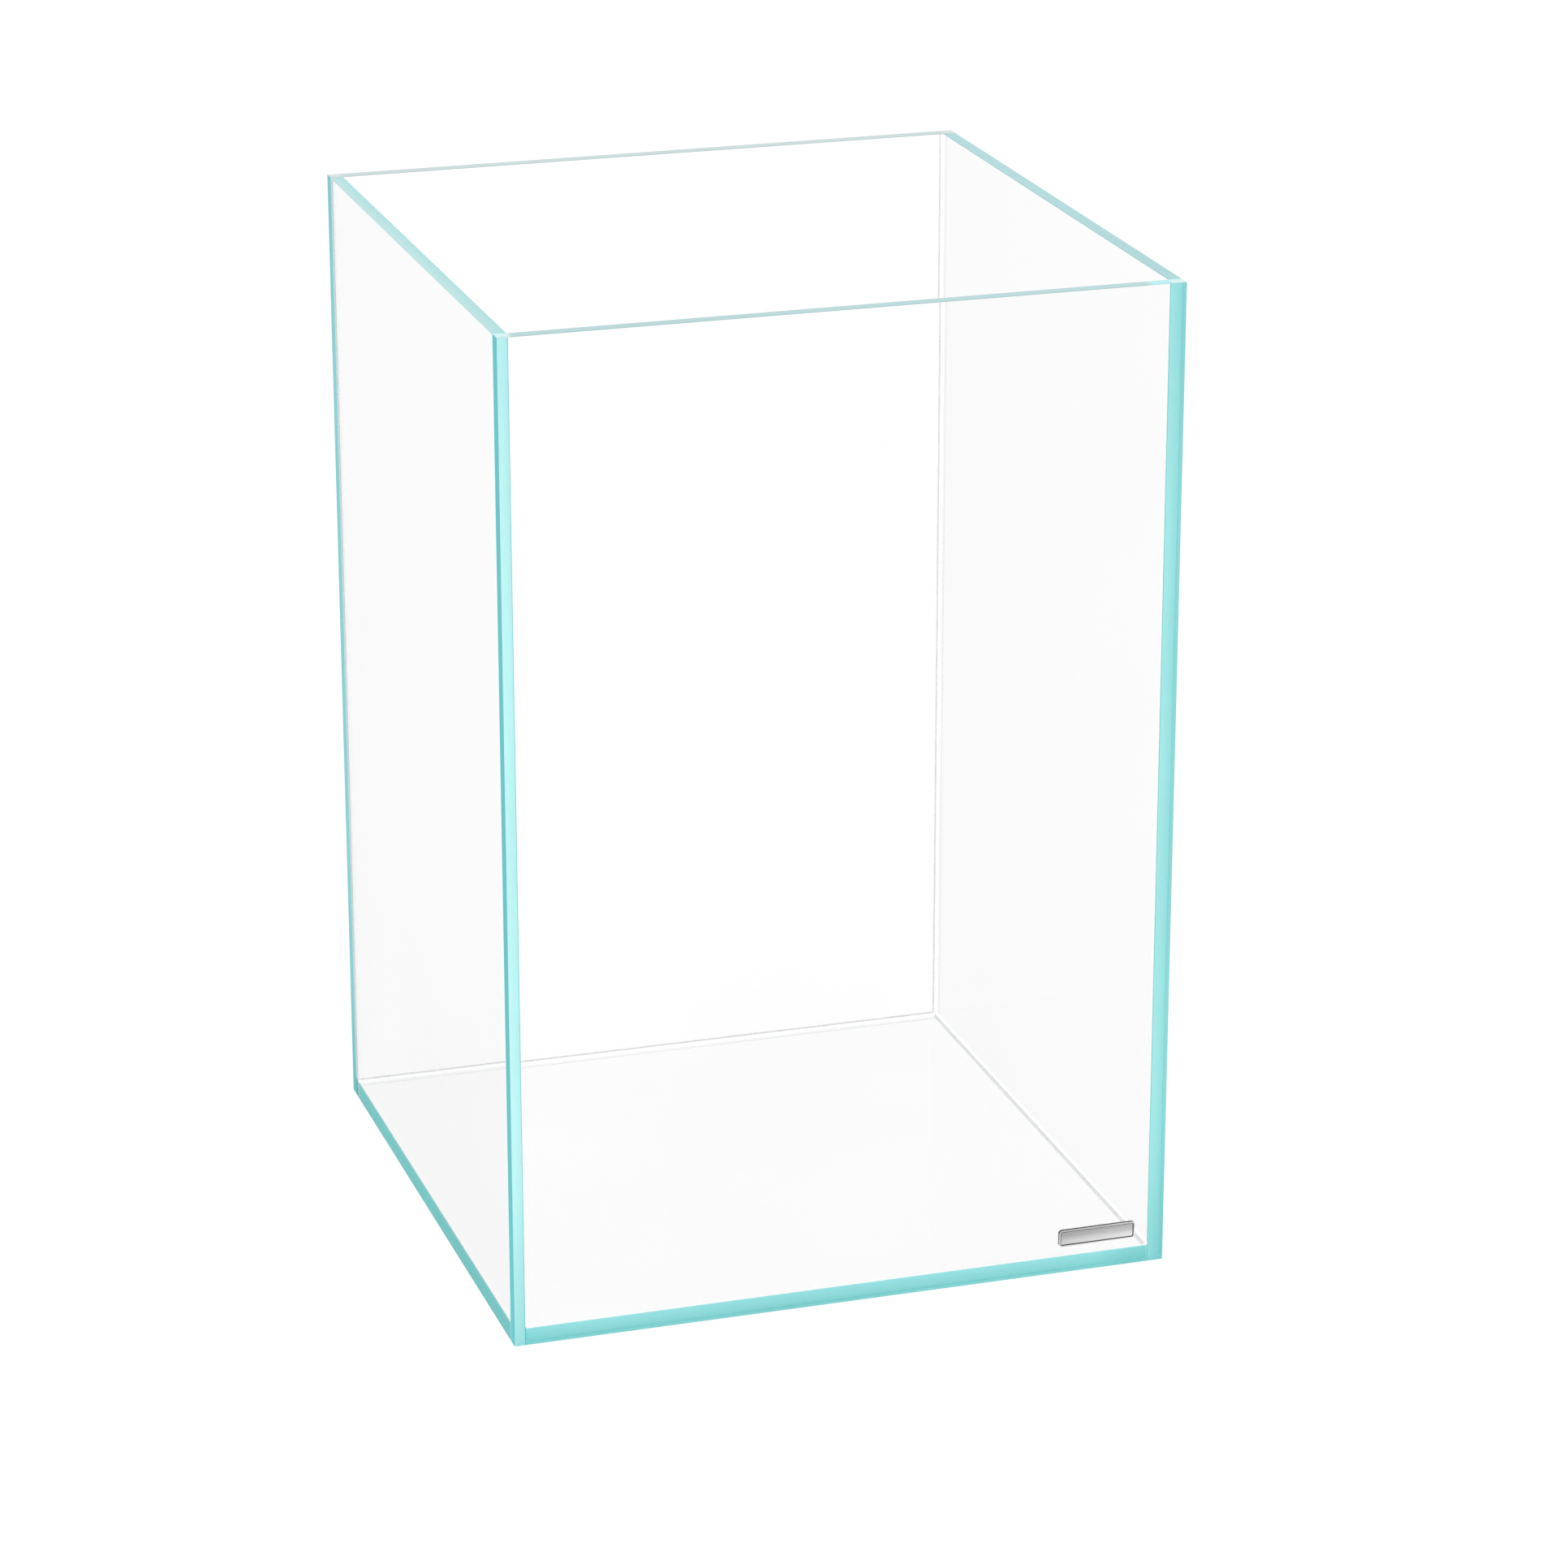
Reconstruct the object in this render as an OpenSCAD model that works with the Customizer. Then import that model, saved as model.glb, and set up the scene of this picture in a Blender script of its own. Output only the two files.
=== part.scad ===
// Rimless glass aquarium tank: five clear panes, butt-jointed with clear silicone.
// The front and back panes run the full width. The side panes stand between them,
// and the base pane lies inside all four walls, flush with their lower edges.
// Origin: middle of the underside. +X runs to the right, +Y to the back, +Z up.

/* [Tank] */
// Outside width of the glass, left to right
tank_w = 300; // [200:10:600]
// Outside depth of the glass, front to back
tank_d = 300; // [200:10:600]
// Outside height of the glass
tank_h = 450; // [200:10:600]

/* [Glass] */
// Thickness of every pane
glass_t = 6; // [4:1:12]
// Leg of the polished 45 degree arris along every glass edge
arris = 0.2; // [0.1:0.1:1]

/* [Silicone] */
// Thickness of the silicone bond between two panes
bond_t = 0.3; // [0.2:0.1:1.5]
// Leg of the sealing fillet along every inside corner
bead_leg = 2; // [0.6:0.1:5]

/* [Nameplate] */
// Length of the blank metal nameplate
plate_w = 36; // [20:1:60]
// Height of the nameplate
plate_h = 8; // [5:0.5:15]
// Thickness of the nameplate, with its raised border
plate_t = 1.6; // [0.6:0.1:2]
// Width of the raised border
plate_border = 0.8; // [0.4:0.1:1.5]
// Gap from the right-hand edge of the front pane to the nameplate
plate_side_gap = 14; // [5:1:60]
// Height of the nameplate's lower edge above the underside
plate_base_gap = 13; // [10:1:60]

/* [Hidden] */
$fn = 64;

// Inside of the tank, between the faces of opposite walls
inner_w = tank_w - 2 * glass_t;
inner_d = tank_d - 2 * glass_t;
// A side pane and the base pane leave room for a bond at each glued edge
side_d = inner_d - 2 * bond_t;
base_w = inner_w - 2 * bond_t;
base_d = inner_d - 2 * bond_t;
// A bond covers the flat part of a glued edge, between its two arrises
bond_w = glass_t - 2 * arris;
// The bead's hollow face is an arc whose centre lies this far from both walls
bead_reach = 1.6 * bead_leg;
bead_r = sqrt(pow(bead_reach, 2) + pow(bead_reach - bead_leg, 2));
// The nameplate's corner radius, and the depth of the field inside its border
plate_r = 1.5;
plate_recess = 0.4;
// Cutting shapes run past the face that they cut by this much
clear = 1;

glass = [0.72, 0.93, 0.93, 0.35];
silicone = [0.93, 0.95, 0.95, 0.8];

// Rectangle centred on the origin, with its four corners cut off by the arris
module arris_outline(x, y) {
    a = x / 2;
    b = y / 2;
    c = arris;
    polygon([
        [a, c - b], [a, b - c], [a - c, b], [c - a, b],
        [-a, b - c], [-a, c - b], [c - a, -b], [a - c, -b]
    ]);
}

// A pane centred in X and Y that stands on Z = 0, with an arris along all twelve edges
module pane(x, y, z) {
    color(glass)
    translate([0, 0, z / 2])
    intersection() {
        linear_extrude(z, center = true)
            arris_outline(x, y);
        rotate([90, 0, 0])
            linear_extrude(y, center = true)
                arris_outline(x, z);
        rotate([0, 90, 0])
            linear_extrude(x, center = true)
                arris_outline(z, y);
    }
}

module front_pane() {
    translate([0, (glass_t - tank_d) / 2, 0])
        pane(tank_w, glass_t, tank_h);
}

module back_pane() {
    translate([0, (tank_d - glass_t) / 2, 0])
        pane(tank_w, glass_t, tank_h);
}

module left_pane() {
    translate([(glass_t - tank_w) / 2, 0, 0])
        pane(glass_t, side_d, tank_h);
}

module right_pane() {
    translate([(tank_w - glass_t) / 2, 0, 0])
        pane(glass_t, side_d, tank_h);
}

module base_pane() {
    pane(base_w, base_d, glass_t);
}

// Bond between the end of a side pane and the front or back pane.
// side is -1 for left and 1 for right; face is -1 for front and 1 for back.
module corner_bond(side, face) {
    color(silicone)
    translate([
        side * (tank_w - glass_t) / 2,
        face * (inner_d - bond_t) / 2,
        tank_h / 2
    ])
        cube([bond_w, bond_t, tank_h - 2 * arris], center = true);
}

module front_left_bond() {
    corner_bond(-1, -1);
}

module front_right_bond() {
    corner_bond(1, -1);
}

module back_left_bond() {
    corner_bond(-1, 1);
}

module back_right_bond() {
    corner_bond(1, 1);
}

// Bond between the base pane's edge and the wall that it faces
module base_bond(length) {
    color(silicone)
    translate([0, 0, glass_t / 2])
        cube([length, bond_t, bond_w], center = true);
}

module base_front_bond() {
    translate([0, (bond_t - inner_d) / 2, 0])
        base_bond(base_w - 2 * arris);
}

module base_back_bond() {
    translate([0, (inner_d - bond_t) / 2, 0])
        base_bond(base_w - 2 * arris);
}

module base_left_bond() {
    translate([(bond_t - inner_w) / 2, 0, 0])
        rotate(90)
            base_bond(base_d - 2 * arris);
}

module base_right_bond() {
    translate([(inner_w - bond_t) / 2, 0, 0])
        rotate(90)
            base_bond(base_d - 2 * arris);
}

// Section of a bead that fills the corner of two walls lying along +X and +Y
module bead_section() {
    difference() {
        square(bead_leg);
        translate([bead_reach, bead_reach])
            circle(r = bead_r);
    }
}

// A straight bead on the base along the front wall, longer than the tank is wide
module base_bead_stock() {
    translate([-tank_w / 2, -inner_d / 2, glass_t])
        rotate([90, 0, 90])
            linear_extrude(tank_w)
                bead_section();
}

// The same bead along the left wall
module side_bead_stock() {
    translate([-inner_w / 2, tank_d / 2, glass_t])
        rotate([90, 0, 0])
            linear_extrude(tank_d)
                bead_section();
}

// The front bead between the side walls, mitred at 45 degrees at both ends
module front_bead() {
    half = inner_w / 2;
    cut = bead_leg + clear;
    color(silicone)
    intersection() {
        base_bead_stock();
        translate([0, -inner_d / 2, glass_t])
            linear_extrude(cut)
                polygon([[-half, 0], [half, 0], [half - cut, cut], [cut - half, cut]]);
    }
}

// The left bead between the front and back walls, mitred in the same way
module left_bead() {
    half = inner_d / 2;
    cut = bead_leg + clear;
    color(silicone)
    intersection() {
        side_bead_stock();
        translate([-inner_w / 2, 0, glass_t])
            linear_extrude(cut)
                polygon([[0, -half], [0, half], [cut, half - cut], [cut, cut - half]]);
    }
}

// The upright bead in the front left corner, shaped to sit on the two base beads
module corner_bead() {
    color(silicone)
    difference() {
        translate([-inner_w / 2, -inner_d / 2, glass_t])
            linear_extrude(tank_h - glass_t - arris)
                bead_section();
        base_bead_stock();
        side_bead_stock();
    }
}

module front_left_bead() {
    corner_bead();
}

module front_right_bead() {
    mirror([1, 0, 0])
        corner_bead();
}

module back_left_bead() {
    mirror([0, 1, 0])
        corner_bead();
}

module back_right_bead() {
    rotate(180)
        corner_bead();
}

module base_front_bead() {
    front_bead();
}

module base_back_bead() {
    rotate(180)
        front_bead();
}

module base_left_bead() {
    left_bead();
}

module base_right_bead() {
    rotate(180)
        left_bead();
}

// Rectangle from the origin with its corners rounded to radius r
module rounded_outline(x, y, r) {
    translate([r, 0])
        square([x - 2 * r, y]);
    translate([0, r])
        square([x, y - 2 * r]);
    for (cx = [r, x - r], cy = [r, y - r])
        translate([cx, cy])
            circle(r = r);
}

// Blank metal plate on the face of the front pane, with a field sunk inside its border
module nameplate() {
    b = plate_border;
    color("silver")
    translate([tank_w / 2 - plate_side_gap - plate_w, -tank_d / 2, plate_base_gap])
        rotate([90, 0, 0])
            difference() {
                linear_extrude(plate_t)
                    rounded_outline(plate_w, plate_h, plate_r);
                translate([b, b, plate_t - plate_recess])
                    linear_extrude(clear)
                        rounded_outline(plate_w - 2 * b, plate_h - 2 * b, plate_r - b);
            }
}

front_pane();
back_pane();
left_pane();
right_pane();
base_pane();
front_left_bond();
front_right_bond();
back_left_bond();
back_right_bond();
base_front_bond();
base_back_bond();
base_left_bond();
base_right_bond();
front_left_bead();
front_right_bead();
back_left_bead();
back_right_bead();
base_front_bead();
base_back_bead();
base_left_bead();
base_right_bead();
nameplate();
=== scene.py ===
"""Looks of the rimless glass aquarium tank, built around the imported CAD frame.

Each pane is rebuilt in the box of its CAD node with polished arrises, so that its two large faces,
its free edges and its glued edges each have their own glass. The silicone bonds, the sealing beads
and the blank nameplate are rebuilt inside their CAD solids. All lengths are in metres.

A ramp is (axis, stops), where a stop is (place along the axis, colour). A look is a list of ramps
that are multiplied. Colours are linear light.
"""

import math

import bmesh
import bpy
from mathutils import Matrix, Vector


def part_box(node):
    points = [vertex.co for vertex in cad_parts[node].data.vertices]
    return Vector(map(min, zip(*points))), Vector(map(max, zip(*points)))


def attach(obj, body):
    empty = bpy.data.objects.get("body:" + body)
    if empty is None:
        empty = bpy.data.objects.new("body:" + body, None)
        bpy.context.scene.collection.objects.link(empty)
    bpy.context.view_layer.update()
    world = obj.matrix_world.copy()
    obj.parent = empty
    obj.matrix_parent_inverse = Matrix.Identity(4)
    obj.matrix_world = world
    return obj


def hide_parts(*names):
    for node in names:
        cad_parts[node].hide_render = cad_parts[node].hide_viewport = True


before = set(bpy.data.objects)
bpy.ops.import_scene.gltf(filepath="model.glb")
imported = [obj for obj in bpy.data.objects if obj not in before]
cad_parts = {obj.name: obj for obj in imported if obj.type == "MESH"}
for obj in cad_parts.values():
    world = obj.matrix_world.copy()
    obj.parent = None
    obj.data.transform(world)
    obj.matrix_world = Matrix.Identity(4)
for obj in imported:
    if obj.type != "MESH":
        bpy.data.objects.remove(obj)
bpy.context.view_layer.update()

X, Y, Z = 0, 1, 2

# The tank as the frame has it: its outside box, and the space between the five panes
OUTER_LOW, OUTER_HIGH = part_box("front_pane")
INNER_LOW = Vector((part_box("left_pane")[1][X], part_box("front_pane")[1][Y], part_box("base_pane")[1][Z]))
INNER_HIGH = Vector((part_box("right_pane")[0][X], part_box("back_pane")[0][Y], OUTER_HIGH[Z]))
TOP = OUTER_HIGH[Z]
BEAD_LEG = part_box("base_front_bead")[1][Z] - INNER_LOW[Z]
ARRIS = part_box("base_front_bond")[0][Z]     # a bond starts where the arris of its pane ends

# ---- Shapes of the silicone pieces
LIFT = 0.00003            # hairline between a piece and the glass it lies on, so that no faces coincide
STATION = 0.009           # length between two cross sections
WAVES = ((0.5, 61, 1.7), (0.3, 143, 1.0), (0.2, 367, 0.0))     # share, radians per metre, shift by seed
FILM_EDGE = 0.00016       # how far at most a bond's edge stands out into the groove beside it
FILM_WAVE = 0.2           # share of that by which the edge wanders
FILM_SLOPE = 0.0002       # how wide the slope is from a bond's flat face down to its edge
FILM_EASE = 0.4           # how far that slope drops, as a share of half the thickness
BEAD_REACH = 1.6          # centre of the bead's hollow arc from both walls, in legs
BEAD_FILL = 0.94          # share of the CAD bead's leg that the bead reaches on average
BEAD_WAVE = 0.04          # share of the leg by which it wanders
ARC_STEPS = 10
MERGE = 1e-7              # points of a bead closer than this are one point
FILM_SHARP, BEAD_SHARP = 50, 40     # edges sharper than this many degrees are not smoothed

# ---- Clear float glass
GLASS_IOR = 1.52
SOFT_IOR = 1.15           # sets how fast the faces' weak reflection grows at a glancing angle
# Strength of that reflection in each pane
PANE_SHINE = {"front_pane": 0.6, "back_pane": 0.6, "left_pane": 0.70, "right_pane": 0.44, "base_pane": 0.85}
TOTAL = 0.99              # a Fresnel share above this is total reflection
PATCH_SCALE = (11.0, 11.0, 7.0)     # noise scales and brightness of the faces' faint patches
PATCH_RANGE = (0.994, 1.0)
SQUARE_ON = 0.9           # a normal with a larger part than this lies along an axis
FILM_FACE = 0.99          # the same for the large faces of a bond, whose edges slope gently

# ---- Glass edges: their colours are a painted glow that stands in for light piped along the panes
EDGE_GLOW = 0.7           # part of an edge's colour given off as painted glow, for light piped through the pane
EDGE_ROUGHNESS = 0.12
RIM_SHINE = 0.15
STREAK_FINE, STREAK_SLOW = 900.0, 14.0     # noise scales across and along an edge
STREAK_RANGE = (0.985, 1.012)
DRIFT_SCALE = (9.0, 9.0, 9.0)     # of the slow drift of an edge's brightness
DRIFT_RANGE = (0.975, 1.02)
SEAM_STEP = 0.0008        # half the width of the change of colour over a seam
GLINT_FROM = 0.0115       # where the glint beside the right pane starts to grow, measured from the pane
GLINT_FULL = 0.0085       # where it has its full strength

FREE_INSIDE = (0.28, 0.70, 0.69)     # a free end, seen through its pane
GLUED_ARRIS = (0.74, 0.78, 0.78)     # the arris of a glued edge, seen through its pane
# Feet of the front and back panes: over the left pane, in the middle and over the right pane
FOOT_PARTS = ((0.34, 0.80, 0.79), (0.20, 0.63, 0.63), (0.25, 0.66, 0.67))
SIDE_FOOT = (0.09, 0.56, 0.55)
FOOT_MIRROR = (0.94, 0.97, 0.97)     # tints of what the edges mirror inside the glass
BASE_MIRROR = (0.96, 0.96, 0.96)
UNCHANGED = (1, 1, 1)

# Painted shade: an upright edge deepens towards the base and, less, towards the rim
UPRIGHT_SHADE = (Z, [
    (0.0, (0.70, 0.85, 0.87)), (0.02, (0.79, 0.90, 0.90)), (0.06, (0.975, 0.985, 0.985)),
    (0.10, UNCHANGED), (TOP - 0.1, UNCHANGED), (TOP, (0.91, 0.93, 0.95)),
])
# Painted light: the front pane's free ends are lit a little where the base's edge stands behind them
BRIGHT_FOOT = (Z, [(0.0, (1.0, 1.08, 1.09)), (0.05, (1.0, 1.08, 1.09)), (0.09, UNCHANGED), (TOP, UNCHANGED)])

FRONT_EDGES = {
    "end": (0.176, 0.545, 0.565), "end_shade": BRIGHT_FOOT,
    "rim": (0.345, 0.548, 0.548), "corner": (0.55, 0.76, 0.76), "glint": (0.37, 0.72, 0.75),
}
BACK_EDGES = {
    "end": (0.27, 0.638, 0.644), "end_shade": UPRIGHT_SHADE,
    "rim": (0.424, 0.541, 0.532), "corner": (0.54, 0.60, 0.60), "glint": (0.424, 0.541, 0.532),
}
# Each of these is a pair of colours, for the pane's left-hand and right-hand faces
LEFT_EDGES = {
    "glued": ((0.67, 1.08, 1.08), (0.51, 0.98, 0.97)),
    "tint": ((0.42, 0.66, 0.67), (0.68, 0.78, 0.78)),
    "rim": ((0.37, 0.63, 0.62), (0.265, 0.58, 0.585)),
}
RIGHT_EDGES = {
    "glued": ((0.45, 0.93, 0.91), (0.34, 0.83, 0.84)),
    "tint": ((0.98, 0.98, 0.98), (0.98, 0.98, 0.98)),
    "rim": ((0.275, 0.533, 0.553), (0.275, 0.533, 0.553)),
}
# The base's edges: pairs for its lower and upper face, and a painted shade that darkens the long ones
# towards the corners along the width
BASE_LONG = ((0.265, 0.76, 0.765), (0.35, 0.865, 0.88))
BASE_SIDE = ((0.13, 0.59, 0.58), (0.15, 0.61, 0.60))
BASE_SIDE_ARRIS = ((0.10, 0.46, 0.43), (0.12, 0.48, 0.44))
# Painted shade: the long edges darken towards both corners, most on the right
BASE_CORNER_SHADE = (X, [
    (INNER_LOW[X], (0.90, 0.97, 0.97)), (-0.12, UNCHANGED), (0.12, UNCHANGED),
    (0.133, (0.80, 0.90, 0.90)), (INNER_HIGH[X], (0.77, 0.88, 0.88)),
])
# The left-hand one of its side edges holds less red
LESS_RED_LEFT = (X, [(INNER_LOW[X], (0.5, 1, 1)), (INNER_HIGH[X], UNCHANGED)])

# ---- Silicone: painted glow, share of milky body and share of bubbles
BOND_LOOK = (0.78, 0.012, 0.03)
# A bond's eased edges have the painted glow of the glass beside them: pairs for the base's lower and upper
# face
BOND_RIMS = {
    "upright": (FOOT_PARTS[1], FOOT_PARTS[1]),
    "long": (FOOT_PARTS[1], BASE_LONG[1]),
    "side": (SIDE_FOOT, BASE_SIDE[1]),
}
PLAIN, LIT, SHADE = 0, 1, 2     # the materials of a bead: plain, painted lit and painted in shade
# Lit and shaded copies of one silicone, as painted light and painted shade: glow, milky body, bubbles
BEAD_LOOKS = {
    "bead_silicone": (0.78, 0.10, 0.10),
    "bead_lit_silicone": (0.84, 0.55, 0.12),
    "bead_shade_silicone": (0.42, 0.72, 0.12),
}
# The beads that are not plain all over: the look of each one, and the part of its hollow arc that is
# painted in shade, as shares from its first wall (the base, or the front or back pane) to its second
BEAD_PARTS = {
    "base_right_bead": (LIT, 0.0, 0.5), "base_back_bead": (LIT, 0.7, 1.0),
    "back_right_bead": (LIT, 0.0, 0.35), "back_left_bead": (PLAIN, 0.65, 1.0),
}
SEE_THROUGH = (0.995, 0.995, 0.995)
MILKY = (0.3, 0.3, 0.3)
SILICONE_ROUGHNESS = 0.25
BUBBLE_SCALE = 420.0
BUBBLE_CORE, BUBBLE_EDGE = 0.06, 0.16     # radii of a bubble, in noise cells
CLOUD_SCALE = (160.0, 160.0, 160.0)
CLOUD_SPREAD = 0.2        # how far the share of milky body strays, as a share of it

# ---- Nameplate
SHADED_SIDE, BORDER, FIELD = 0, 1, 2     # the materials of the nameplate; its sides, the border's inner wall and the groove are dark with painted shade
PLATE_CORNER = 0.0015
PLATE_LEAST_RADIUS = 0.0002
PLATE_BORDER = 0.0008
PLATE_RECESS = 0.0004
PLATE_EASE = 0.00015
PLATE_GROOVE = 0.0003     # from the border's inner edge to the flat of the field
CORNER_STEPS = 8
PLATE_SHARP = 35
# For each material: greys over the height as (share, grey), a painted reflection that darkens upwards, then
# roughness and darkest streak
PLATE_METALS = {
    "plate_side_shade": (((0.0, 0.22), (1.0, 0.15)), 0.25, 0.9),
    "plate_border": (((0.0, 0.92), (0.5, 0.80), (1.0, 0.60)), 0.14, 0.95),
    "plate_field": (((0.0, 0.90), (0.35, 0.78), (0.6, 0.58), (1.0, 0.40)), 0.30, 0.86),
}
PLATE_LEFT_SHADE = (0.78, 0.78, 0.78)     # painted shade: the plate darkens towards its left-hand end
BRIGHTEST_STREAK = 1.04
SCRATCH_DEPTH = 0.00002
SCRATCH_STRENGTH = 0.25
# Noise scales across and along the plate
PLATE_STREAKS, PLATE_SCRATCHES, PLATE_SHEEN = (5200.0, 60.0), (7000.0, 90.0), (3000.0, 80.0)
SHEEN_RANGE = (0.8, 1.25)     # how far the roughness strays, as shares of it

# ---- Stage
FLOOR_HALF = 12.0
FLOOR_DROP = 0.0003       # keeps the floor clear of the tank's underside
FLOOR_GREY = (0.06, 0.06, 0.06)
FLOOR_GLOW = 0.965
LIGHT_STRENGTH = 1.025
CAMERA_AZIMUTH, CAMERA_ELEVATION = math.radians(-17.645), math.radians(19.655)
CAMERA_DISTANCE = 2.4733
CAMERA_TARGET = Vector((0.01992, 0.0, 0.18893))
CAMERA_LENS, CAMERA_SENSOR = 125.0, 36.0
BOUNCES = 32


# ---------------------------------------------------------------- node helpers

def new_material(name):
    """An empty node material, its tree and the input of its surface."""
    material = bpy.data.materials.new(name)
    material.use_nodes = True
    tree = material.node_tree
    tree.nodes.clear()
    return material, tree, tree.nodes.new("ShaderNodeOutputMaterial").inputs["Surface"]


def node(tree, kind, **settings):
    """A new node; a setting whose name ends in an underscore is an attribute, another is an input."""
    made = tree.nodes.new(kind)
    for key, value in settings.items():
        if key.endswith("_"):
            setattr(made, key[:-1], value)
        else:
            feed(tree, made.inputs[key.replace("_", " ")], value)
    return made


def feed(tree, socket, value):
    """Gives an input a number, a colour or another node's output."""
    if isinstance(value, bpy.types.NodeSocket):
        tree.links.new(value, socket)
    elif isinstance(value, (int, float)):
        socket.default_value = value
    else:
        socket.default_value = (*value, 1) if len(socket.default_value) == 4 else value


def math_node(tree, operation, *values):
    """The result of a Math node."""
    made = node(tree, "ShaderNodeMath", operation_=operation)
    for socket, value in zip(made.inputs, values):
        feed(tree, socket, value)
    return made.outputs[0]


def vector_node(tree, operation, a, b):
    """The result of a Vector Math node on two vectors or colours, or on one and a scale."""
    made = node(tree, "ShaderNodeVectorMath", operation_=operation)
    feed(tree, made.inputs[0], a)
    feed(tree, made.inputs["Scale" if operation == "SCALE" else 1], b)
    return made.outputs[0]


def mixed(tree, share, first, second):
    """A mix of two shaders; the share is the second one's."""
    made = node(tree, "ShaderNodeMixShader", Fac=share)
    tree.links.new(first, made.inputs[1])
    tree.links.new(second, made.inputs[2])
    return made.outputs[0]


def place(tree):
    """The point's place in the tank's own frame."""
    return tree.nodes.new("ShaderNodeTexCoord").outputs["Object"]


def ramp(tree, axis, stops):
    """A colour that changes along an axis of the frame."""
    start, end = stops[0][0], stops[-1][0]
    split = tree.nodes.new("ShaderNodeSeparateXYZ")
    tree.links.new(place(tree), split.inputs[0])
    span = node(tree, "ShaderNodeMapRange", From_Min=start, From_Max=end)
    tree.links.new(split.outputs[axis], span.inputs["Value"])
    made = node(tree, "ShaderNodeValToRGB", Fac=span.outputs[0])
    points = made.color_ramp.elements
    while len(points) < len(stops):
        points.new(0.5)     # anywhere: each point gets its place below
    for point, (at, colour) in zip(points, stops):
        point.position = (at - start) / (end - start)
        point.color = (*colour, 1)
    return made.outputs[0]


def grain(tree, scale, low, high, detail=2.0):
    """Noise between about low and high, with its own scale along each axis."""
    usual_low, usual_high = 0.3, 0.7     # a Noise node's values mostly lie between these
    spread = vector_node(tree, "MULTIPLY", place(tree), scale)
    noise = node(tree, "ShaderNodeTexNoise", Vector=spread, Scale=1.0, Detail=detail)
    return node(
        tree, "ShaderNodeMapRange", Value=noise.outputs[0],
        From_Min=usual_low, From_Max=usual_high, To_Min=low, To_Max=high,
    ).outputs[0]


def along(axis, fine, slow):
    """Noise scales for streaks that run along one axis."""
    return tuple(slow if i == axis else fine for i in range(3))


def painted(tree, look, streak_axis):
    """The product of a look's ramps, with faint streaks along the edge and a slow drift."""
    colour = ramp(tree, *look[0])
    for extra in look[1:]:
        colour = vector_node(tree, "MULTIPLY", colour, ramp(tree, *extra))
    streaks = grain(tree, along(streak_axis, STREAK_FINE, STREAK_SLOW), *STREAK_RANGE)
    drift = grain(tree, DRIFT_SCALE, *DRIFT_RANGE)
    return vector_node(tree, "SCALE", colour, math_node(tree, "MULTIPLY", streaks, drift))


# ---------------------------------------------------------------- glass materials

def clear_face(name, strength):
    """The large polished faces: they bend light, with a weak reflection, and mirror it past the
    critical angle. Faint cloudy patches keep them from being perfectly even."""
    material, tree, surface = new_material(name)
    patches = vector_node(tree, "SCALE", (1, 1, 1), grain(tree, PATCH_SCALE, *PATCH_RANGE))
    bend = node(tree, "ShaderNodeBsdfRefraction", Color=patches, IOR=GLASS_IOR, Roughness=0.0)
    shine = node(tree, "ShaderNodeBsdfGlossy", Color=(strength,) * 3, Roughness=0.0)
    mirror = node(tree, "ShaderNodeBsdfGlossy", Color=(1, 1, 1), Roughness=0.0)
    weak = node(tree, "ShaderNodeFresnel", IOR=SOFT_IOR).outputs[0]
    full = node(tree, "ShaderNodeFresnel", IOR=GLASS_IOR).outputs[0]
    total = math_node(tree, "GREATER_THAN", full, TOTAL)
    open_face = mixed(tree, weak, bend.outputs[0], shine.outputs[0])
    tree.links.new(mixed(tree, total, open_face, mirror.outputs[0]), surface)
    return material


def edge_glass(name, streak_axis, outside, inside, mirrors=False, shine=0.0):
    """A pane's edge. Its outside is polished glass with a painted glow that stands in for the light piped
    along the pane. Its inside, seen through the pane, mirrors or has a painted glow."""
    material, tree, surface = new_material(name)
    colour = painted(tree, outside, streak_axis)
    outer = node(
        tree, "ShaderNodeBsdfPrincipled",
        Base_Color=vector_node(tree, "SCALE", colour, 1 - EDGE_GLOW),
        Roughness=EDGE_ROUGHNESS, Specular_IOR_Level=shine,
        Emission_Color=colour, Emission_Strength=EDGE_GLOW,
    )
    inner_colour = painted(tree, inside, streak_axis)
    if mirrors:
        inner = node(tree, "ShaderNodeBsdfGlossy", Color=inner_colour, Roughness=0.0)
    else:
        inner = node(tree, "ShaderNodeEmission", Color=inner_colour, Strength=1.0)
    within = tree.nodes.new("ShaderNodeNewGeometry").outputs["Backfacing"]
    tree.links.new(mixed(tree, within, outer.outputs[0], inner.outputs[0]), surface)
    return material


def flat(axis, colour):
    """A ramp with one colour from end to end."""
    return (axis, [(0.0, colour), (1.0, colour)])


def across(axis, span, pair):
    """A ramp from one colour to another over a span of the axis."""
    return (axis, list(zip(span, pair)))


def full_width(left, middle, right, glint=None):
    """A ramp for an edge along the tank's width: its part over the left pane, the middle and the part
    over the right pane. The glint, a painted highlight, is the middle's colour close to the right pane."""
    glint = glint or middle
    return (X, [
        (OUTER_LOW[X], left), (INNER_LOW[X] - SEAM_STEP, left), (INNER_LOW[X] + SEAM_STEP, middle),
        (INNER_HIGH[X] - GLINT_FROM, middle), (INNER_HIGH[X] - GLINT_FULL, glint),
        (INNER_HIGH[X] - SEAM_STEP, glint), (INNER_HIGH[X] + SEAM_STEP, right), (OUTER_HIGH[X], right),
    ])


# The functions below give an edge's materials as a pair: for its face, and for its arrises

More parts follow.
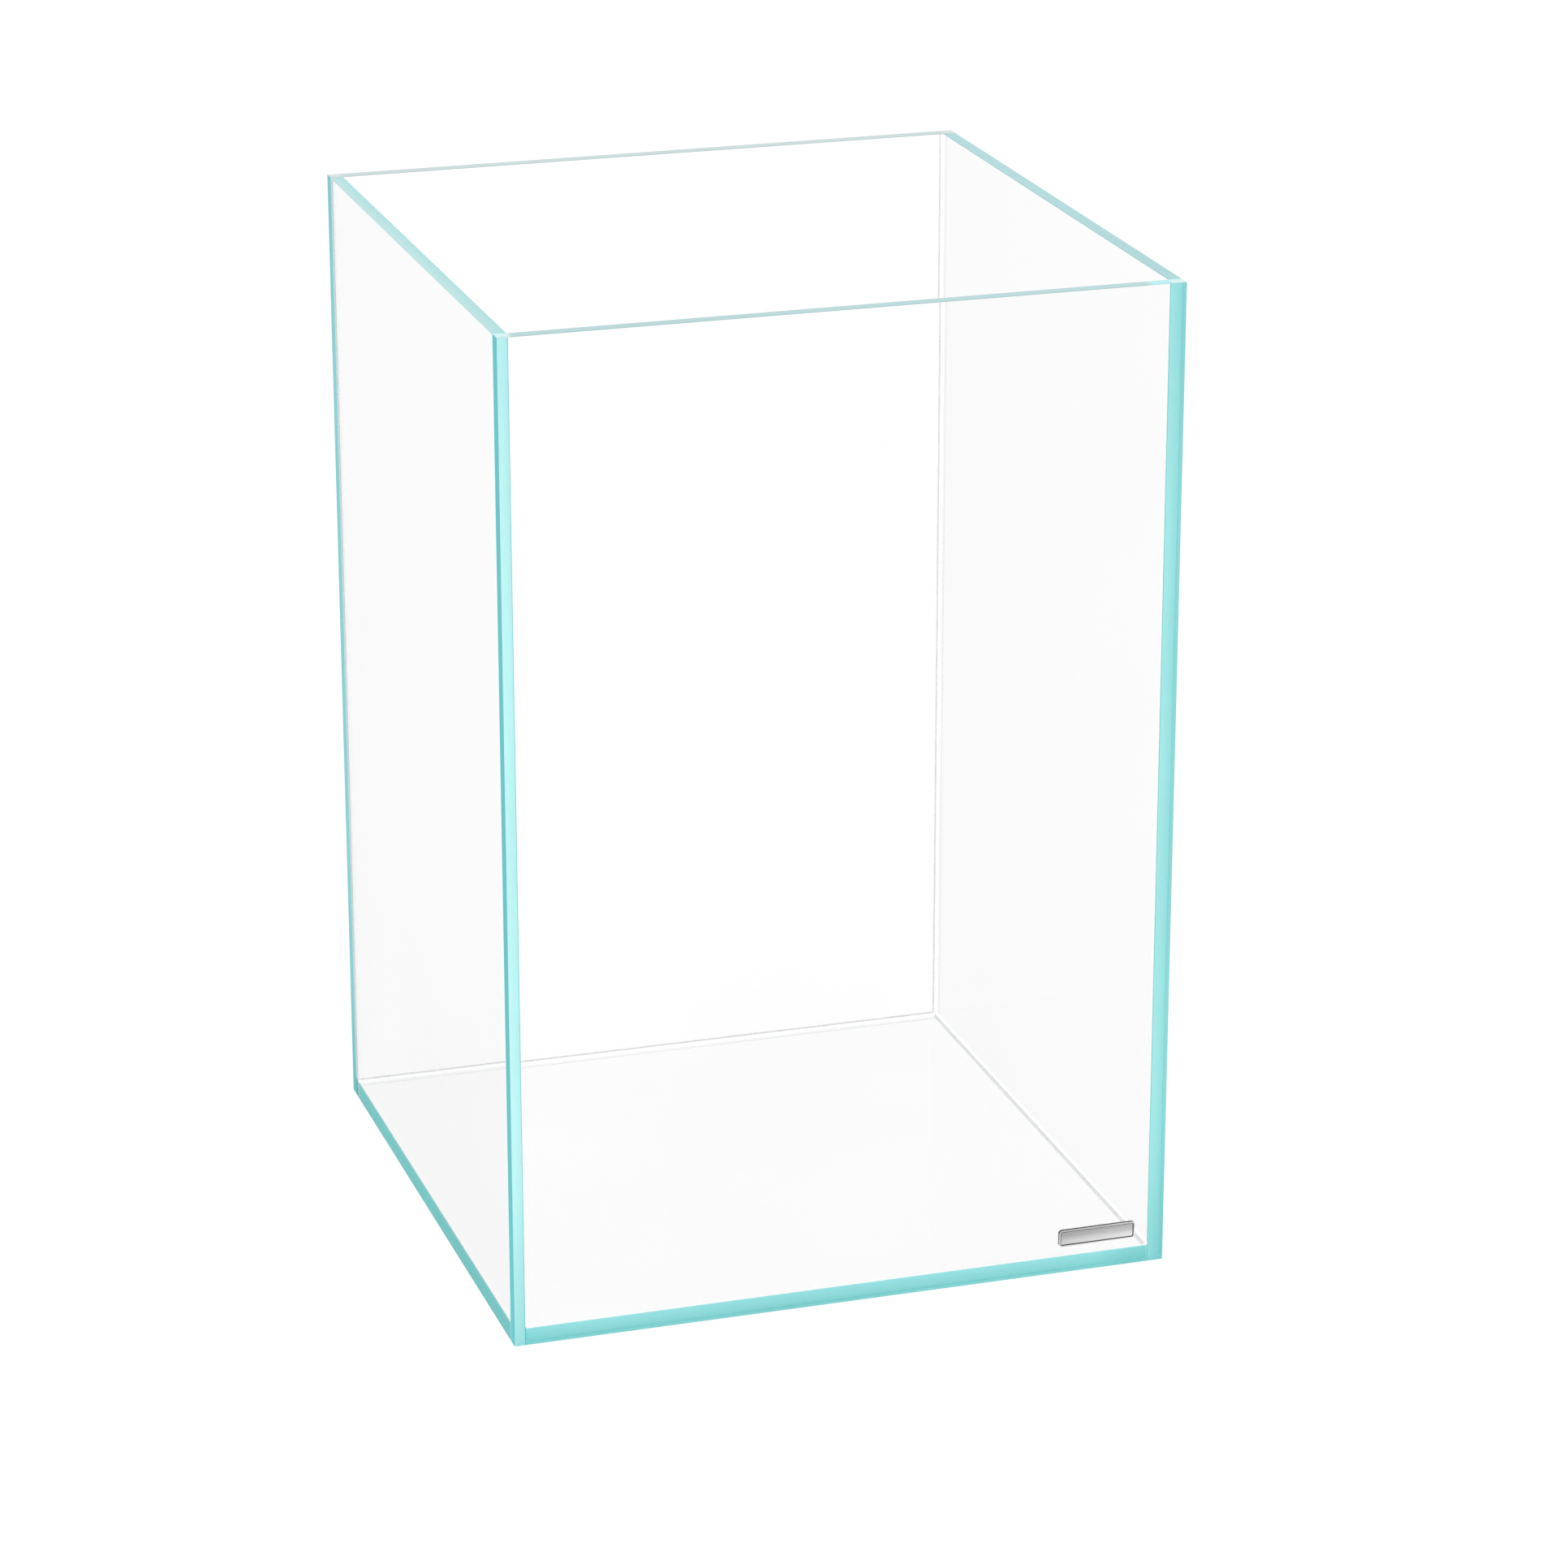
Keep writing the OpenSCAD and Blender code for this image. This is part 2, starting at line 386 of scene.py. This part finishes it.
def mirror_edge(name, streak_axis, outside, tint, arris_outside, arris_inside):
    """An edge that mirrors inside. Its arrises have a painted glow there, as they are too narrow to show an
    image.
    """
    return (
        edge_glass("edge_" + name, streak_axis, outside, tint, mirrors=True),
        edge_glass("arris_" + name, streak_axis, arris_outside, arris_inside),
    )


def free_end(name, look):
    """An upright end that is not glued."""
    inside = [flat(Z, FREE_INSIDE), UPRIGHT_SHADE]
    return (edge_glass("edge_end_" + name, Z, look, inside),) * 2


def rim_edge(name, streak_axis, look):
    """The upper edge of a wall."""
    return (edge_glass("edge_rim_" + name, streak_axis, look, look, shine=RIM_SHINE),) * 2


def foot_edge(name, streak_axis, look):
    """The lower edge of a wall, which stands on the table."""
    return mirror_edge("foot_" + name, streak_axis, look, [flat(streak_axis, FOOT_MIRROR)], look, look)


# The functions below give the pairs of a whole pane: by axis for its ends, then its rim and its foot

def full_width_edges(name, end, end_shade, rim, corner, glint):
    """The front or back pane, which runs past the side panes."""
    return {
        X: free_end(name, [flat(Z, end), end_shade]),
        "rim": rim_edge(name, X, [full_width(corner, rim, corner, glint)]),
        "foot": foot_edge(name, X, [full_width(*FOOT_PARTS)]),
    }


def side_edges(name, span, glued, tint, rim):
    """A side pane, whose ends are glued; span is from its left-hand face to its right-hand one."""
    outside = [across(X, span, glued), UPRIGHT_SHADE]
    return {
        Y: mirror_edge(name, Z, outside, [across(X, span, tint)], outside, [flat(Z, GLUED_ARRIS)]),
        "rim": rim_edge(name, Y, [across(X, span, rim)]),
        "foot": foot_edge(name, Y, [flat(Y, SIDE_FOOT)]),
    }


def base_edges():
    """The base pane, glued all round."""
    span = (0.0, INNER_LOW[Z])
    mirror = [flat(Z, BASE_MIRROR)]
    pale = [flat(Z, GLUED_ARRIS)]
    long = [across(Z, span, BASE_LONG), BASE_CORNER_SHADE]
    side = [across(Z, span, BASE_SIDE), LESS_RED_LEFT]
    side_arris = [across(Z, span, BASE_SIDE_ARRIS), LESS_RED_LEFT]
    return {
        Y: mirror_edge("base_long", X, long, mirror, long, pale),
        X: mirror_edge("base_side", Y, side, mirror, side_arris, pale),
    }


def pane_edges():
    """The materials of every pane's edges."""
    return {
        "front_pane": full_width_edges("front", **FRONT_EDGES),
        "back_pane": full_width_edges("back", **BACK_EDGES),
        "left_pane": side_edges("left", (OUTER_LOW[X], INNER_LOW[X]), **LEFT_EDGES),
        "right_pane": side_edges("right", (INNER_HIGH[X], OUTER_HIGH[X]), **RIGHT_EDGES),
        "base_pane": base_edges(),
    }


# ---------------------------------------------------------------- pieces

def mesh_object(name, bm):
    """Turns a bmesh into an object of the scene."""
    bmesh.ops.recalc_face_normals(bm, faces=bm.faces)
    mesh = bpy.data.meshes.new(name)
    bm.to_mesh(mesh)
    bm.free()
    made = bpy.data.objects.new(name, mesh)
    bpy.context.scene.collection.objects.link(made)
    return made


def new_piece(name, bm, cad_node):
    """A piece that takes the place of a CAD node and rides on the tank's one body."""
    piece = mesh_object(name, bm)
    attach(piece, "root")
    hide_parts(cad_node)
    return piece


def skin(rings):
    """A closed bmesh through rings of points, with a cap on each end."""
    bm = bmesh.new()
    loops = [[bm.verts.new(point) for point in ring] for ring in rings]
    count = len(loops[0])
    for near, far in zip(loops, loops[1:]):
        for i in range(count):
            j = (i + 1) % count
            bm.faces.new((near[i], near[j], far[j], far[i]))
    bm.faces.new(loops[0])
    bm.faces.new(loops[-1])
    return bm


def smooth(piece, angle):
    """Smooth shading that keeps the edges sharper than the angle, in degrees."""
    piece.data.polygons.foreach_set("use_smooth", [True] * len(piece.data.polygons))
    piece.data.set_sharp_from_angle(angle=math.radians(angle))


def hand_wave(at, seed):
    """A slow uneven wave between about -1 and 1, as of a hand-drawn line of silicone."""
    return sum(share * math.sin(speed * at + shift * seed) for share, speed, shift in WAVES)


# ---------------------------------------------------------------- panes

def pane_material(normal, thin, face, edges):
    """The material of one face of a pane, from the way it looks."""
    if abs(normal[thin]) > SQUARE_ON:
        return face
    ends = [axis for axis in (Y, X, Z) if axis != thin]
    axis = max(ends, key=lambda i: abs(normal[i]))
    side = axis
    if axis == Z:
        side = "rim" if normal[Z] > 0 else "foot"
    plain, arris = edges[side]
    return plain if abs(normal[axis]) > SQUARE_ON else arris


def build_pane(name, face, edges):
    """A pane in its CAD node's box, with an arris along all its edges."""
    low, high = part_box(name)
    size = [high[i] - low[i] for i in range(3)]
    thin = size.index(min(size))
    bm = bmesh.new()
    bmesh.ops.create_cube(bm, size=1.0)
    for v in bm.verts:
        v.co = Vector((v.co[i] + 0.5) * size[i] + low[i] for i in range(3))
    bmesh.ops.bevel(bm, geom=bm.edges[:], offset=ARRIS, offset_type="OFFSET", segments=1, affect="EDGES")
    piece = new_piece("glass_" + name, bm, name)
    materials = []
    for polygon in piece.data.polygons:
        material = pane_material(polygon.normal, thin, face, edges)
        if material not in materials:
            materials.append(material)
            piece.data.materials.append(material)
        polygon.material_index = materials.index(material)


# ---------------------------------------------------------------- silicone

def clear_silicone(name, glow, body_share, bubble_share):
    """Clear silicone: part see-through, part milky body with a painted white glow, with a soft shine and a
    few small bubbles.
    """
    material, tree, surface = new_material(name)
    through = node(tree, "ShaderNodeBsdfTransparent", Color=SEE_THROUGH)
    body = node(
        tree, "ShaderNodeBsdfPrincipled", Base_Color=MILKY, Roughness=SILICONE_ROUGHNESS,
        Emission_Color=(1, 1, 1), Emission_Strength=glow,
    )
    cells = node(tree, "ShaderNodeTexVoronoi", Scale=BUBBLE_SCALE)
    tree.links.new(place(tree), cells.inputs["Vector"])
    bubbles = node(
        tree, "ShaderNodeMapRange", Value=cells.outputs["Distance"],
        From_Min=BUBBLE_CORE, From_Max=BUBBLE_EDGE, To_Min=bubble_share, To_Max=0.0,
    ).outputs[0]
    thin, dense = body_share * (1 - CLOUD_SPREAD), body_share * (1 + CLOUD_SPREAD)
    share = math_node(tree, "ADD", grain(tree, CLOUD_SCALE, thin, dense), bubbles)
    tree.links.new(mixed(tree, share, through.outputs[0], body.outputs[0]), surface)
    return material


def film_section(half_wide, half_thick):
    """Points (across the width, across the thickness) of a bond's eight-sided section."""
    flat_to = half_wide - FILM_SLOPE
    edge_to = half_thick * (1 - FILM_EASE)
    return (
        (-half_wide, -edge_to), (-flat_to, -half_thick), (flat_to, -half_thick), (half_wide, -edge_to),
        (half_wide, edge_to), (flat_to, half_thick), (-flat_to, half_thick), (-half_wide, edge_to),
    )


def build_bond(name, clear, rim, seed):
    """The thin film in a glued joint. Its eased edges stand slightly and unevenly out into the groove
    between the two panes' arrises, and have the painted glow of the glass."""
    low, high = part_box(name)
    size = [high[i] - low[i] for i in range(3)]
    thin, wide, long = sorted((X, Y, Z), key=lambda i: size[i])
    middle = [(low[i] + high[i]) / 2 for i in range(3)]
    if name.startswith("base_"):
        # The base pane's own upright arrises leave room for the film to run on into the corners
        low[long] -= ARRIS
        size[long] += 2 * ARRIS
    count = max(2, round(size[long] / STATION))
    rings = []
    for k in range(count + 1):
        at = low[long] + size[long] * k / count
        edge = FILM_EDGE * (1 - FILM_WAVE + FILM_WAVE * hand_wave(at, seed))
        ring = []
        for w, t in film_section(size[wide] / 2 + edge, size[thin] / 2 - LIFT):
            point = Vector(middle)
            point[long] = at
            point[wide] += w
            point[thin] += t
            ring.append(point)
        rings.append(ring)
    piece = new_piece("film_" + name, skin(rings), name)
    smooth(piece, FILM_SHARP)
    for material in (clear, rim):
        piece.data.materials.append(material)
    for polygon in piece.data.polygons:
        polygon.material_index = int(abs(polygon.normal[thin]) < FILM_FACE)


def bond_part(name):
    """Which of the joints a bond fills: an upright one, or a long or a side one of the base."""
    if name in ("base_left_bond", "base_right_bond"):
        return "side"
    if name in ("base_front_bond", "base_back_bond"):
        return "long"
    return "upright"


def build_bonds():
    """A film for every joint."""
    clear = clear_silicone("bond_silicone", *BOND_LOOK)
    rims = {}
    for part, pair in BOND_RIMS.items():
        look = [across(Z, (0.0, INNER_LOW[Z]), pair)]
        rims[part] = edge_glass("bond_" + part + "_rim", Z, look, look)
    for seed, name in enumerate(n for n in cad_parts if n.endswith("_bond")):
        build_bond(name, clear, rims[bond_part(name)], seed)


def bead_section(leg):
    """Points (u, v) of a bead's section: the corner first, then the hollow arc from wall to wall."""
    reach = BEAD_REACH * leg
    radius = math.hypot(reach, reach - leg)
    first = math.atan2(-reach, leg - reach)
    last = math.atan2(leg - reach, -reach)
    points = [(0.0, 0.0)]
    for k in range(ARC_STEPS + 1):
        angle = first + (last - first) * k / ARC_STEPS
        points.append((reach + radius * math.cos(angle), reach + radius * math.sin(angle)))
    return points


def bead_rings(corner, u_axis, v_axis, run, length, seed, start_of, end_of):
    """Rings of a bead that runs from a corner; start_of and end_of say how far each point of the
    section lies in from the two ends of the run."""
    count = max(2, round(length / STATION))
    rings = []
    for k in range(count + 1):
        at = length * k / count
        leg = BEAD_LEG * (BEAD_FILL + BEAD_WAVE * hand_wave(at, seed)) - LIFT
        ring = []
        for u, v in bead_section(leg):
            start, end = start_of(u, v), length - end_of(u, v)
            along_run = min(max(at, start), end)
            ring.append(corner + u_axis * (u + LIFT) + v_axis * (v + LIFT) + run * along_run)
        rings.append(ring)
    return rings


def shade_arc(bm, look, first, last):
    """Gives a bead its look, but paints part of its hollow arc in shade, from first to last."""
    sides = ARC_STEPS + 2
    for index, face in enumerate(bm.faces):
        share = (index % sides - 0.5) / ARC_STEPS
        face.material_index = SHADE if first < share < last else look


def build_bead(name, materials, rings):
    """A bead through rings of points; where its ends are cut to a slope, its points are merged."""
    bm = skin(rings)
    if name in BEAD_PARTS:
        shade_arc(bm, *BEAD_PARTS[name])
    bmesh.ops.remove_doubles(bm, verts=bm.verts, dist=MERGE)
    bmesh.ops.dissolve_degenerate(bm, edges=bm.edges, dist=MERGE)
    piece = new_piece("seal_" + name, bm, name)
    smooth(piece, BEAD_SHARP)
    for material in materials:
        piece.data.materials.append(material)


def build_base_beads(materials):
    """Four beads on the base, mitred where they meet in the corners."""
    def mitre(u, v):
        return u

    size = INNER_HIGH - INNER_LOW
    up = Vector((0, 0, 1))
    walls = (
        ("base_front_bead", INNER_LOW.xy, (0, 1), (1, 0), size.x),
        ("base_back_bead", INNER_HIGH.xy, (0, -1), (-1, 0), size.x),
        ("base_left_bead", (INNER_LOW.x, INNER_HIGH.y), (1, 0), (0, -1), size.y),
        ("base_right_bead", (INNER_HIGH.x, INNER_LOW.y), (-1, 0), (0, 1), size.y),
    )
    for seed, (name, corner, inward, run, length) in enumerate(walls):
        rings = bead_rings(
            Vector((*corner, INNER_LOW.z)), Vector((*inward, 0)), up, Vector((*run, 0)), length,
            seed, mitre, mitre,
        )
        build_bead(name, materials, rings)


def build_corner_beads(materials, first_seed):
    """Four upright beads that stand on the base beads and stop short of the rim."""
    def over_base(u, v):
        return BEAD_LEG if u == v == 0 else max(u, v) + LIFT

    def square_cut(u, v):
        return 0.0

    length = TOP - ARRIS - INNER_LOW.z
    corners = (
        ("front_left_bead", INNER_LOW.x, INNER_LOW.y, 1, 1),
        ("front_right_bead", INNER_HIGH.x, INNER_LOW.y, -1, 1),
        ("back_left_bead", INNER_LOW.x, INNER_HIGH.y, 1, -1),
        ("back_right_bead", INNER_HIGH.x, INNER_HIGH.y, -1, -1),
    )
    for seed, (name, x, y, x_inward, y_inward) in enumerate(corners, first_seed):
        rings = bead_rings(
            Vector((x, y, INNER_LOW.z)), Vector((x_inward, 0, 0)), Vector((0, y_inward, 0)),
            Vector((0, 0, 1)), length, seed, over_base, square_cut,
        )
        build_bead(name, materials, rings)


def build_beads():
    """All the sealing beads."""
    materials = [clear_silicone(name, *look) for name, look in BEAD_LOOKS.items()]
    build_base_beads(materials)
    build_corner_beads(materials, first_seed=4)


# ---------------------------------------------------------------- nameplate

def plate_metal(name, greys, roughness, darkest_streak):
    """Silver metal with a painted reflection that darkens up its height and towards its left-hand end, and
    fine streaks and scratches along it.
    """
    material, tree, surface = new_material(name)
    streaks = grain(tree, along(X, *PLATE_STREAKS), darkest_streak, BRIGHTEST_STREAK, detail=4.0)
    low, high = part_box("nameplate")
    height = ramp(tree, Z, [(low[Z] + share * (high[Z] - low[Z]), (grey,) * 3) for share, grey in greys])
    width = ramp(tree, X, [(low[X], PLATE_LEFT_SHADE), (high[X], UNCHANGED)])
    colour = vector_node(tree, "MULTIPLY", height, width)
    scratches = grain(tree, along(X, *PLATE_SCRATCHES), 0.0, 1.0, detail=3.0)
    dullest, sharpest = roughness * SHEEN_RANGE[1], roughness * SHEEN_RANGE[0]
    bump = node(
        tree, "ShaderNodeBump", Strength=SCRATCH_STRENGTH, Distance=SCRATCH_DEPTH, Height=scratches,
    )
    metal = node(
        tree, "ShaderNodeBsdfPrincipled", Base_Color=vector_node(tree, "SCALE", colour, streaks),
        Metallic=1.0, Roughness=grain(tree, along(X, *PLATE_SHEEN), sharpest, dullest),
        Normal=bump.outputs[0],
    )
    tree.links.new(metal.outputs[0], surface)
    return material


def plate_loop(low, high, inset, lift):
    """A rounded rectangle over the front pane's face, inset from the plate's outline."""
    radius = max(PLATE_CORNER - inset, PLATE_LEAST_RADIUS)
    left, right = low[X] + inset + radius, high[X] - inset - radius
    bottom, top = low[Z] + inset + radius, high[Z] - inset - radius
    points = []
    for turn, (x, z) in enumerate(((right, top), (left, top), (left, bottom), (right, bottom))):
        for k in range(CORNER_STEPS + 1):
            angle = math.pi / 2 * (turn + k / CORNER_STEPS)
            to_x, to_z = radius * math.cos(angle), radius * math.sin(angle)
            points.append(Vector((x + to_x, high[Y] - lift, z + to_z)))
    return points


def plate_profile(thick):
    """Inset and height of each of the nameplate's loops, from its back over the border to the field,
    and the material of the band that runs from the loop to the next one."""
    ease = PLATE_EASE
    rounded = ease * 0.3     # a point on the outer edge's round
    small_ease = ease * 0.4
    return (
        (ease, LIFT, SHADED_SIDE),
        (0.0, ease, SHADED_SIDE),
        (0.0, thick - ease, BORDER),
        (rounded, thick - rounded, BORDER),
        (ease, thick, BORDER),
        (PLATE_BORDER - ease, thick, SHADED_SIDE),
        (PLATE_BORDER, thick - small_ease, SHADED_SIDE),
        (PLATE_BORDER + small_ease, thick - PLATE_RECESS, SHADED_SIDE),
        (PLATE_BORDER + PLATE_GROOVE, thick - PLATE_RECESS, FIELD),
    )


def build_nameplate():
    """A blank plate: eased outer edge, raised border and a field sunk inside it."""
    low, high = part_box("nameplate")
    profile = plate_profile(high[Y] - low[Y])
    rings = [plate_loop(low, high, inset, lift) for inset, lift, look in profile]
    piece = new_piece("blank_plate", skin(rings), "nameplate")
    smooth(piece, PLATE_SHARP)
    for name, look in PLATE_METALS.items():
        piece.data.materials.append(plate_metal(name, *look))
    sides = len(rings[0])
    for index, polygon in enumerate(piece.data.polygons):
        band = index // sides
        polygon.material_index = profile[band][2] if band < len(profile) - 1 else FIELD


# ---------------------------------------------------------------- stage

def build_floor():
    """A plain pale floor that gives off most of its own light, as an even light table does."""
    bm = bmesh.new()
    bmesh.ops.create_grid(bm, x_segments=1, y_segments=1, size=FLOOR_HALF)
    floor = mesh_object("floor", bm)
    floor.location.z = -FLOOR_DROP
    material, tree, surface = new_material("floor_white")
    white = node(
        tree, "ShaderNodeBsdfPrincipled", Base_Color=FLOOR_GREY, Roughness=1.0,
        Specular_IOR_Level=0.0, Emission_Color=(1, 1, 1), Emission_Strength=FLOOR_GLOW,
    )
    tree.links.new(white.outputs[0], surface)
    floor.data.materials.append(material)


def build_light():
    """An even white surround, as in a light tent."""
    world = bpy.data.worlds.new("surround")
    world.use_nodes = True
    background = world.node_tree.nodes["Background"]
    background.inputs["Color"].default_value = (1, 1, 1, 1)
    background.inputs["Strength"].default_value = LIGHT_STRENGTH
    bpy.context.scene.world = world


def build_camera():
    """The camera stands to the left of the tank's front and looks down on it."""
    back = Vector((
        math.sin(CAMERA_AZIMUTH) * math.cos(CAMERA_ELEVATION),
        -math.cos(CAMERA_AZIMUTH) * math.cos(CAMERA_ELEVATION),
        math.sin(CAMERA_ELEVATION),
    ))
    camera = bpy.data.cameras.new("camera")
    camera.sensor_width = CAMERA_SENSOR
    camera.lens = CAMERA_LENS
    holder = bpy.data.objects.new("camera", camera)
    bpy.context.scene.collection.objects.link(holder)
    holder.location = CAMERA_TARGET + back * CAMERA_DISTANCE
    holder.rotation_euler = (-back).to_track_quat("-Z", "Y").to_euler()
    bpy.context.scene.camera = holder


def set_light_paths():
    """Enough bounces for light that crosses many panes, and colours shown as they are."""
    scene = bpy.context.scene
    scene.view_settings.view_transform = "Standard"
    scene.cycles.max_bounces = BOUNCES
    scene.cycles.glossy_bounces = BOUNCES
    scene.cycles.transmission_bounces = BOUNCES
    scene.cycles.transparent_max_bounces = BOUNCES


for pane, edges in pane_edges().items():
    build_pane(pane, clear_face("clear_" + pane, PANE_SHINE[pane]), edges)
build_bonds()
build_beads()
build_nameplate()
build_floor()
build_light()
build_camera()
set_light_paths()
